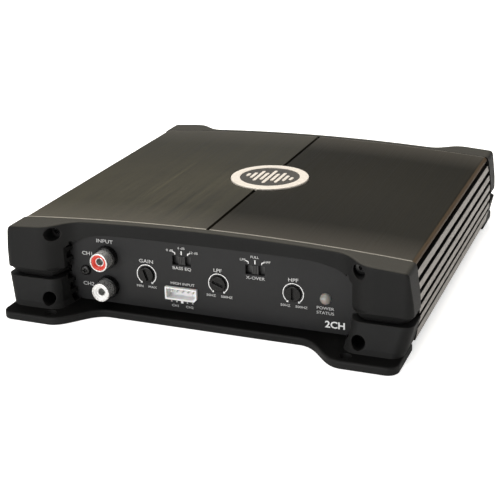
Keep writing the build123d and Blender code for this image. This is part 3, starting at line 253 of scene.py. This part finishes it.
def badge_metal():
    """Champagne satin badge, brushed across."""
    s = Shader("badge_metal")
    brush = s.noise(1.0, 3.0, 0.6, s.stretched((300, 6000, 300)))
    s.set(Base_Color=s.mix(s.remap(brush, 0.3, 0.7), (0.66, 0.60, 0.53), (0.82, 0.76, 0.68)))
    s.set(Metallic=0.25)
    s.set(Roughness=s.remap(brush, 0.3, 0.7, 0.34, 0.48))
    s.set(Normal=s.bump(brush, 0.45, 0.00005, s.soft_edges(0.0002)))
    return s.material


PLAIN_GRAIN = 1800.0
PLAIN_GRAIN_STRENGTH = 0.15


def plain_material(name, low, high, roughness, metallic=0.0, scale=60.0, edge=0.00025, **extra):
    """A material whose colour clouds between two tones and whose surface has a fine grain."""
    s = Shader(name)
    cloud = s.noise(scale, 4.0, 0.55)
    fine = s.noise(PLAIN_GRAIN, 2.0, 0.55)
    s.set(Base_Color=s.mix(s.remap(cloud, 0.3, 0.7), low, high))
    s.set(Roughness=s.remap(fine, 0.3, 0.7, *roughness))
    s.set(Metallic=metallic)
    s.set(Normal=s.bump(fine, PLAIN_GRAIN_STRENGTH, 0.00004, s.soft_edges(edge)))
    if extra:
        s.set(**extra)
    return s.material


def badge_enamel():
    return plain_material("badge_enamel", (0.030, 0.026, 0.020), (0.050, 0.043, 0.034), (0.26, 0.36))


def black_moulding():
    return plain_material("black_moulding", (0.003, 0.003, 0.003), (0.006, 0.006, 0.006), (0.20, 0.32),
                          Specular_IOR_Level=0.30)


def knob_plastic():
    return plain_material("knob_plastic", (0.002, 0.002, 0.002), (0.005, 0.005, 0.005), (0.22, 0.34),
                          Specular_IOR_Level=0.30)


def slider_plastic():
    return plain_material("slider_plastic", (0.022, 0.022, 0.022), (0.032, 0.032, 0.032), (0.30, 0.42))


def nickel():
    return plain_material("nickel", (0.80, 0.79, 0.78), (0.90, 0.89, 0.88), (0.22, 0.34), 0.75, 300.0)


def tin():
    return plain_material("tin", (0.72, 0.72, 0.71), (0.84, 0.84, 0.83), (0.25, 0.40), 0.8, 300.0)


def plated_steel():
    return plain_material("plated_steel", (0.36, 0.36, 0.35), (0.50, 0.50, 0.48), (0.30, 0.48), 0.95, 90.0)


def black_steel():
    return plain_material("black_steel", (0.02, 0.02, 0.02), (0.05, 0.05, 0.05), (0.18, 0.30), 0.8, 200.0)


def red_insulator():
    return plain_material("red_insulator", (0.62, 0.045, 0.028), (0.74, 0.070, 0.045), (0.22, 0.34))


def white_insulator():
    return plain_material("white_insulator", (0.86, 0.86, 0.85), (0.93, 0.93, 0.92), (0.25, 0.38))


def white_nylon():
    return plain_material("white_nylon", (0.78, 0.78, 0.78), (0.86, 0.86, 0.86), (0.3, 0.42),
                          Subsurface_Weight=0.2, Subsurface_Scale=0.001)


def lens():
    return plain_material("lens", (0.26, 0.245, 0.225), (0.33, 0.315, 0.295), (0.16, 0.26),
                          Subsurface_Weight=0.4, Subsurface_Scale=0.002)


def circuit_board():
    """Green solder mask over a faint pattern of tracks."""
    s = Shader("circuit_board")
    tracks = s.tree.nodes.new("ShaderNodeTexBrick")
    s.put(tracks.inputs["Vector"], s.stretched((260, 260, 260)))
    cloud = s.noise(120.0, 3.0, 0.5)
    base = s.mix(tracks.outputs["Fac"], (0.010, 0.085, 0.030), (0.020, 0.14, 0.055))
    s.set(Base_Color=s.mix(s.remap(cloud, 0.4, 0.6, 0.0, 0.4), base, (0.008, 0.06, 0.022)))
    s.set(Roughness=s.remap(cloud, 0.3, 0.7, 0.22, 0.34))
    s.set(Normal=s.bump(tracks.outputs["Fac"], 0.3, 0.00004))
    return s.material


def brass():
    return plain_material("brass", (0.60, 0.43, 0.17), (0.70, 0.52, 0.24), (0.2, 0.35), 1.0, 200.0)


def ferrite():
    return plain_material("ferrite", (0.02, 0.08, 0.04), (0.04, 0.13, 0.07), (0.4, 0.55))


def copper_wire():
    return plain_material("copper_wire", (0.42, 0.13, 0.04), (0.58, 0.22, 0.08), (0.18, 0.3), 0.9, 500.0)


def capacitor_sleeve():
    return plain_material("capacitor_sleeve", (0.008, 0.010, 0.030), (0.015, 0.018, 0.050), (0.2, 0.3))


def pad_rubber():
    return plain_material("pad_rubber", (0.30, 0.33, 0.35), (0.38, 0.41, 0.43), (0.6, 0.75))


def fuse_plastic():
    return plain_material("fuse_plastic", (0.70, 0.52, 0.03), (0.82, 0.64, 0.06), (0.12, 0.2),
                          Transmission_Weight=0.25)


def white_print():
    return plain_material("white_print", (0.80, 0.80, 0.80), (0.95, 0.95, 0.94), (0.4, 0.55), edge=0.00001)


def grey_print():
    return plain_material("grey_print", (0.46, 0.46, 0.46), (0.60, 0.60, 0.59), (0.4, 0.55), edge=0.00001)


MAKERS = {f.__name__: f for f in (
    sink_aluminium, cap_plastic, panel_paint, badge_metal, badge_enamel, black_moulding, knob_plastic,
    slider_plastic, nickel, tin, plated_steel, black_steel, red_insulator, white_insulator, white_nylon,
    lens, circuit_board, brass, ferrite, copper_wire, capacitor_sleeve, pad_rubber, fuse_plastic)}


def dress_cad_nodes():
    """Give every CAD node the procedural material of its record slot."""
    made = {name: maker() for name, maker in MAKERS.items()}
    for entry in frame["record"]["subparts"]:
        data = frame["nodes"][entry["node"]].data
        data.materials.clear()
        data.materials.append(made[entry["material_slot"]])


# ---- White print ----------------------------------------------------------------------------------

# Places on the two panels are in millimetres: x to the right of the centre, z above the feet.
PRINT_THICKNESS = 0.03 * MM
LABEL_WIDTH = 1.22                 # the labels use a wide letter
LABEL_WEIGHT = 0.008               # stroke thickening, as a share of the letter's height
CAPITAL_SHARE = 0.72               # height of a capital as a share of the font size
KNOB_XS = (-28.9, 4.9, 38.6)
KNOB_Z = 19.3
KNOB_RING_RADIUS = 4.5
KNOB_HALF_SWEEP = 145              # degrees either side of the top
SWITCH_XS = (-11.9, 21.8)
SWITCH_Z = 27.65
HEADER_X = -12.4
HEADER_MARK_Z = 8.4
HEADER_MARK_DXS = (-5.0, -2.5, 2.5, 5.0)
REAR_NAME_Z = 34.4
REAR_GROUP_Z = 5.9
REAR_WEIGHT = 0.01


def front_matrix(x, z):
    """Frame of a print lying on the front panel: local x right, local y up, facing -Y."""
    return Matrix.Translation((x, PANEL_FACE_Y, z)) @ Matrix.Rotation(math.pi / 2, 4, "X")


def rear_matrix(x, z):
    """Frame of a print lying on the rear panel: seen from behind, local x runs right, facing +Y."""
    turn = Matrix.Rotation(math.pi, 4, "Z") @ Matrix.Rotation(math.pi / 2, 4, "X")
    return Matrix.Translation((x, REAR_FACE_Y, z)) @ turn


def text_mesh(words, height, weight):
    """Mesh of a line of text, centred, with capitals of the given height; weight thickens strokes."""
    curve = bpy.data.curves.new("words", "FONT")
    curve.body = words
    curve.align_x = "CENTER"
    curve.align_y = "CENTER"
    curve.size = height / CAPITAL_SHARE
    curve.extrude = PRINT_THICKNESS
    curve.offset = weight * height
    curve.resolution_u = 3
    holder = bpy.data.objects.new("words", curve)
    bpy.context.scene.collection.objects.link(holder)
    bpy.context.view_layer.update()
    mesh = bpy.data.meshes.new_from_object(holder.evaluated_get(bpy.context.evaluated_depsgraph_get()))
    bpy.data.objects.remove(holder)
    return mesh


def add_text(target, words, x, z, height, matrix=front_matrix, spacing=1.0, weight=0.0):
    """Add a line of text to a print, placed on its panel (millimetres)."""
    mesh = text_mesh(words, height * MM, weight)
    mesh.transform(Matrix.Diagonal((spacing, 1, 1, 1)))
    mesh.transform(matrix(x * MM, z * MM))
    target.from_mesh(mesh)
    bpy.data.meshes.remove(mesh)


def add_strip(target, points, width, x, z, matrix=front_matrix):
    """Add a flat stroke along a polyline (millimetres, relative to x, z)."""
    half = width / 2
    place = matrix(x * MM, z * MM)
    sides = []
    for i, point in enumerate(points):
        here = Vector(point)
        before = Vector(points[max(i - 1, 0)])
        after = Vector(points[min(i + 1, len(points) - 1)])
        along = (after - before).normalized()
        across = Vector((-along.y, along.x)) * half
        sides.append((here + across, here - across))
    rows = []
    for level in (0.0, PRINT_THICKNESS):
        rows.append([[target.verts.new(place @ Vector((p.x * MM, p.y * MM, level))) for p in pair]
                     for pair in sides])
    low, top = rows
    for i in range(len(points) - 1):
        target.faces.new((top[i][0], top[i][1], top[i + 1][1], top[i + 1][0]))
        target.faces.new((low[i][1], low[i][0], low[i + 1][0], low[i + 1][1]))
        target.faces.new((low[i][0], top[i][0], top[i + 1][0], low[i + 1][0]))
        target.faces.new((top[i][1], low[i][1], low[i + 1][1], top[i + 1][1]))
    target.faces.new((low[0][0], low[0][1], top[0][1], top[0][0]))
    target.faces.new((top[-1][0], top[-1][1], low[-1][1], low[-1][0]))


def arc_points(radius, start, end, count):
    """Points on an arc; angles in degrees, clockwise from the top."""
    angles = [math.radians(start + (end - start) * i / (count - 1)) for i in range(count)]
    return [(radius * math.sin(a), radius * math.cos(a)) for a in angles]


def add_knob_ring(target, x, z):
    """The sweep arc round a knob, with a dot at both ends."""
    add_strip(target, arc_points(KNOB_RING_RADIUS, -KNOB_HALF_SWEEP, KNOB_HALF_SWEEP, 49), 0.36, x, z)
    for end in (-KNOB_HALF_SWEEP, KNOB_HALF_SWEEP):
        dot = arc_points(KNOB_RING_RADIUS, end, end, 2)[0]
        add_strip(target, [(dot[0] - 0.4, dot[1]), (dot[0] + 0.4, dot[1])], 0.8, x, z)


def finish_print(target, name, material):
    """Turn the collected strokes into a piece that rides on the body."""
    mesh = bpy.data.meshes.new(name)
    bmesh.ops.recalc_face_normals(target, faces=target.faces)
    target.to_mesh(mesh)
    target.free()
    mesh.materials.append(material)
    piece = bpy.data.objects.new(name, mesh)
    bpy.context.scene.collection.objects.link(piece)
    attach(piece, "root")


def front_labels():
    """Names of the controls, printed on the control panel in light grey."""
    ink = bmesh.new()
    for words, x, z, height in (
        ("INPUT", -48.6, 32.3, 1.7), ("CH1", -57.4, 25.7, 1.7), ("CH2", -57.8, 11.3, 1.7),
        ("GAIN", -28.8, 25.4, 1.7), ("MIN", -32.3, 13.6, 1.1), ("MAX", -26.3, 13.6, 1.1),
        ("BASS EQ", -11.9, 24.1, 1.4), ("0 dB", -17.3, 31.9, 1.05), ("6 dB", -11.9, 33.4, 1.05),
        ("12 dB", -6.2, 31.9, 1.05), ("HIGH INPUT", -11.9, 16.9, 1.2),
        ("CH1", -15.6, 6.4, 1.1), ("CH2", -8.9, 6.4, 1.1),
        ("LPF", 4.7, 25.3, 1.6), ("50HZ", 1.4, 13.6, 1.1), ("500HZ", 8.6, 13.6, 1.1),
        ("X-OVER", 21.9, 24.0, 1.4), ("FULL", 21.7, 33.4, 1.05), ("LPF", 16.3, 31.8, 1.05),
        ("HPF", 27.2, 31.8, 1.05), ("HPF", 38.6, 25.3, 1.6), ("50HZ", 35.1, 13.6, 1.1),
        ("500HZ", 42.2, 13.6, 1.1), ("POWER", 52.6, 14.5, 1.3), ("STATUS", 52.6, 12.4, 1.3),
    ):
        add_text(ink, words, x, z, height, spacing=LABEL_WIDTH, weight=LABEL_WEIGHT)
    for dx in HEADER_MARK_DXS:
        add_strip(ink, [(dx - 0.3, 0), (dx + 0.3, 0)], 0.5, HEADER_X, HEADER_MARK_Z)
    finish_print(ink, "front_labels", grey_print())


def front_marks():
    """The bright marks of the control panel: channel count, knob rings and switch ticks."""
    ink = bmesh.new()
    add_text(ink, "2CH", 56.9, 7.4, 3.0, spacing=1.1, weight=0.035)
    for x in KNOB_XS:
        add_knob_ring(ink, x, KNOB_Z)
    for x in SWITCH_XS:
        add_strip(ink, [(0, 2.7), (0, 4.5)], 0.45, x, SWITCH_Z)
        for side in (-1, 1):
            add_strip(ink, [(side * 3.0, 2.7), (side * 3.0, 3.5), (side * 4.3, 4.0)], 0.4, x, SWITCH_Z)
    add_strip(ink, [(-0.55, 0), (0.55, 0)], 1.1, HEADER_X, HEADER_MARK_Z)
    finish_print(ink, "front_marks", white_print())


def rear_print():
    """Names of the terminals and of the fuse, printed on the rear panel."""
    ink = bmesh.new()
    for node, words in TERMINALS.items():
        low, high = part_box(node + "_screw")
        add_text(ink, words, (low.x + high.x) / 2 / MM, REAR_NAME_Z, 1.5, rear_matrix, weight=REAR_WEIGHT)
    for words, x in (("POWER", 38.0), ("FUSE", 4.0), ("SPEAKER R", -45.0), ("SPEAKER L", -23.0)):
        add_text(ink, words, x, REAR_GROUP_Z, 1.4, rear_matrix, weight=REAR_WEIGHT)
    finish_print(ink, "rear_print", white_print())


# ---- Studio ----------------------------------------------------------------------------------------


def floor():
    """Plain pale floor, lifted a little for the camera so that it reads as white paper."""
    mesh = bpy.data.meshes.new("floor")
    shape = bmesh.new()
    bmesh.ops.create_grid(shape, x_segments=2, y_segments=2, size=4.0)
    shape.to_mesh(mesh)
    shape.free()
    piece = bpy.data.objects.new("floor", mesh)
    bpy.context.scene.collection.objects.link(piece)
    paper = Shader("floor_paper")
    fibre = paper.noise(300.0, 3.0, 0.5)
    paper.set(Base_Color=paper.mix(fibre, (0.86, 0.86, 0.86), (0.88, 0.88, 0.88)), Roughness=0.85)
    seen = paper.node("LightPath").outputs["Is Camera Ray"]
    paper.set(Emission_Color=(1, 1, 1, 1), Emission_Strength=paper.math("MULTIPLY", seen, FLOOR_LIFT))
    mesh.materials.append(paper.material)


def area_light(name, place, target, size, power, colour=(1, 1, 1)):
    """A soft rectangular lamp aimed at a point."""
    data = bpy.data.lights.new(name, "AREA")
    data.shape = "RECTANGLE"
    data.size = size[0]
    data.size_y = size[1]
    data.energy = power
    data.color = colour
    lamp = bpy.data.objects.new(name, data)
    lamp.location = place
    direction = Vector(target) - Vector(place)
    lamp.rotation_euler = direction.to_track_quat("-Z", "Y").to_euler()
    lamp.visible_camera = False
    bpy.context.scene.collection.objects.link(lamp)


def surroundings():
    """White for the camera; for light and reflections a dim room, brighter at the back left."""
    world = bpy.data.worlds.new("studio")
    bpy.context.scene.world = world
    world.use_nodes = True
    tree = world.node_tree
    room = tree.nodes["Background"]
    direction = tree.nodes.new("ShaderNodeTexCoord").outputs["Generated"]
    toward = tree.nodes.new("ShaderNodeVectorMath")
    toward.operation = "DOT_PRODUCT"
    tree.links.new(direction, toward.inputs[0])
    toward.inputs[1].default_value = ROOM_BRIGHT_SIDE
    glow = tree.nodes.new("ShaderNodeMapRange")
    glow.interpolation_type = "SMOOTHSTEP"
    tree.links.new(toward.outputs["Value"], glow.inputs["Value"])
    glow.inputs["From Min"].default_value = 0.0
    glow.inputs["From Max"].default_value = 1.0
    glow.inputs["To Min"].default_value = ROOM_DIM
    glow.inputs["To Max"].default_value = ROOM_BRIGHT
    tree.links.new(glow.outputs["Result"], room.inputs["Strength"])
    room.inputs["Color"].default_value = (0.96, 0.98, 1.0, 1)
    white = tree.nodes.new("ShaderNodeBackground")
    white.inputs["Color"].default_value = (1, 1, 1, 1)
    choose = tree.nodes.new("ShaderNodeMixShader")
    tree.links.new(tree.nodes.new("ShaderNodeLightPath").outputs["Is Camera Ray"], choose.inputs["Fac"])
    tree.links.new(room.outputs[0], choose.inputs[1])
    tree.links.new(white.outputs[0], choose.inputs[2])
    tree.links.new(choose.outputs[0], tree.nodes["World Output"].inputs["Surface"])


def studio():
    """Dim surroundings with one large soft key overhead, a soft front lamp and a weaker one at the right."""
    surroundings()
    area_light("key", (-0.22, 0.18, 1.1), (-0.05, 0.05, 0), (1.5, 1.3), KEY_POWER, (1.0, 0.965, 0.90))
    area_light("front", (-0.35, -1.3, 0.30), (0, -0.08, 0.02), (0.9, 0.7), FRONT_POWER)
    area_light("side", (1.1, 0.5, 0.45), (0, 0, 0.02), (0.5, 0.6), SIDE_POWER, (1.0, 0.96, 0.92))


def camera():
    """Camera at the reference viewing angle, with its slight roll."""
    azimuth = math.radians(CAMERA_AZIMUTH)
    elevation = math.radians(CAMERA_ELEVATION)
    roll = math.radians(CAMERA_ROLL)
    back = Vector((math.sin(azimuth) * math.cos(elevation), -math.cos(azimuth) * math.cos(elevation),
                   math.sin(elevation)))
    right = (-back).cross(Vector((0, 0, 1))).normalized()
    up = right.cross(-back)
    turned_right = math.cos(roll) * right + math.sin(roll) * up
    turned_up = math.cos(roll) * up - math.sin(roll) * right
    data = bpy.data.cameras.new("camera")
    data.lens = CAMERA_LENS_MM
    data.sensor_width = 36.0
    view = bpy.data.objects.new("camera", data)
    basis = Matrix((turned_right, turned_up, back)).transposed().to_4x4()
    view.matrix_world = Matrix.Translation(Vector(CAMERA_TARGET) + back * CAMERA_DISTANCE) @ basis
    bpy.context.scene.collection.objects.link(view)
    bpy.context.scene.camera = view


bpy.context.scene.view_settings.view_transform = "Standard"
dress_cad_nodes()
front_labels()
front_marks()
rear_print()
floor()
studio()
camera()
